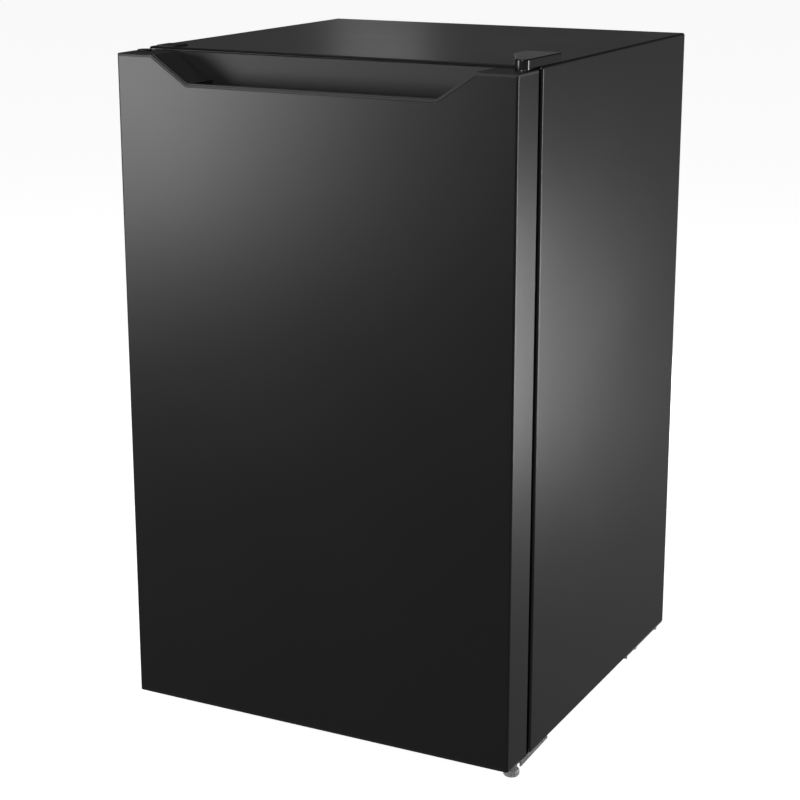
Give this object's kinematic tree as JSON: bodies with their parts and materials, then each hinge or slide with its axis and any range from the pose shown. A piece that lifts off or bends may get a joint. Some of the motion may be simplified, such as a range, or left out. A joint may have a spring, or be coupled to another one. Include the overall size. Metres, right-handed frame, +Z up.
{
  "type": "mini fridge",
  "caption": "Compact upright refrigerator with a hinged door, finger notch handle, inner freezer box, glass shelves, door racks and a rear compressor bay.",
  "frame": {"origin": "on the floor under the middle of the refrigerator's overall width and depth", "axes": "+X to the right seen from the front, +Y towards the rear, +Z up; the door's front faces -Y"},
  "size_m": [0.513, 0.53, 0.841],
  "materials": {
    "cabinet_paint": "satin",
    "door_paint": "satin",
    "rail_paint": "satin",
    "black_plastic": "satin",
    "white_plastic": "satin",
    "clear_plastic": "gloss",
    "shelf_glass": "gloss",
    "foam": "matte",
    "gasket_rubber": "matte",
    "rubber": "matte",
    "bushing_plastic": "satin",
    "foot_plastic": "matte",
    "zinc_steel": "satin",
    "evaporator_aluminium": "satin",
    "compressor_paint": "gloss",
    "copper": "satin",
    "condenser_steel": "satin"
  },
  "bodies": {
    "cabinet": {"bay_shield": "rail_paint", "bottom_pan": "rail_paint", "cabinet_foam": "foam", "capillary_tube": "copper", "compressor_base": "zinc_steel", "compressor_bolts": "zinc_steel", "compressor_feet": "zinc_steel", "compressor_grommets": "rubber", "compressor_lower_shell": "compressor_paint", "compressor_upper_shell": "compressor_paint", "condenser_tube": "condenser_steel", "cord_gland": "black_plastic", "discharge_tube": "copper", "drain_tube": "rubber", "drip_tray": "white_plastic", "earth_screw": "zinc_steel", "evaporation_pan": "black_plastic", "evaporator_box": "evaporator_aluminium", "filter_drier": "copper", "freezer_frame": "white_plastic", "front_rail": "rail_paint", "glass_shelf_lower": "shelf_glass", "glass_shelf_upper": "shelf_glass", "inner_liner": "white_plastic", "left_foot_socket": "zinc_steel", "lower_hinge_bracket": "zinc_steel", "lower_hinge_pin": "zinc_steel", "lower_hinge_screws": "zinc_steel", "outer_wrapper": "cabinet_paint", "process_tube": "copper", "rear_feet": "rubber", "rear_panel": "rail_paint", "shelf_trim_lower": "white_plastic", "shelf_trim_upper": "white_plastic", "spare_hinge_cover": "black_plastic", "suction_tube": "copper", "terminal_cover": "black_plastic", "thermostat_housing": "white_plastic", "thermostat_sensor": "copper", "upper_hinge_cover": "black_plastic", "upper_hinge_pin": "zinc_steel", "upper_hinge_plate": "zinc_steel", "upper_hinge_screws": "zinc_steel"},
    "door": {"door_skin": "door_paint", "door_top_cap": "black_plastic", "door_bottom_cap": "black_plastic", "door_foam": "foam", "door_liner": "white_plastic", "door_gasket": "gasket_rubber", "door_bushings": "bushing_plastic", "spare_hole_plugs": "black_plastic", "door_rack_lower": "clear_plastic", "door_rack_middle": "clear_plastic", "door_rack_upper": "clear_plastic"},
    "freezer_flap": {"freezer_flap": "white_plastic"},
    "thermostat_knob": {"thermostat_knob": "white_plastic"},
    "foot_left": {"levelling_foot_left": "foot_plastic"},
    "foot_right": {"levelling_foot_right": "foot_plastic"}
  },
  "joints": [
    {"name": "door_hinge", "type": "hinge", "parent": "cabinet", "child": "door", "pos_m": [0.244, -0.225, 0.425], "axis": [0, 0, 1], "range_deg": [0, 120]},
    {"name": "freezer_flap_hinge", "type": "hinge", "parent": "cabinet", "child": "freezer_flap", "pos_m": [0, -0.062, 0.7675], "axis": [-1, 0, 0], "range_deg": [0, 85]},
    {"name": "thermostat_knob_turn", "type": "hinge", "parent": "cabinet", "child": "thermostat_knob", "pos_m": [0.1865, -0.07, 0.5935], "axis": [1, 0, 0], "range_deg": [0, 300]},
    {"name": "foot_left_screw", "type": "slide", "parent": "cabinet", "child": "foot_left", "axis": [0, 0, -1], "range_m": [0, 0.012]},
    {"name": "foot_right_screw", "type": "slide", "parent": "cabinet", "child": "foot_right", "axis": [0, 0, -1], "range_m": [0, 0.012]}
  ]
}
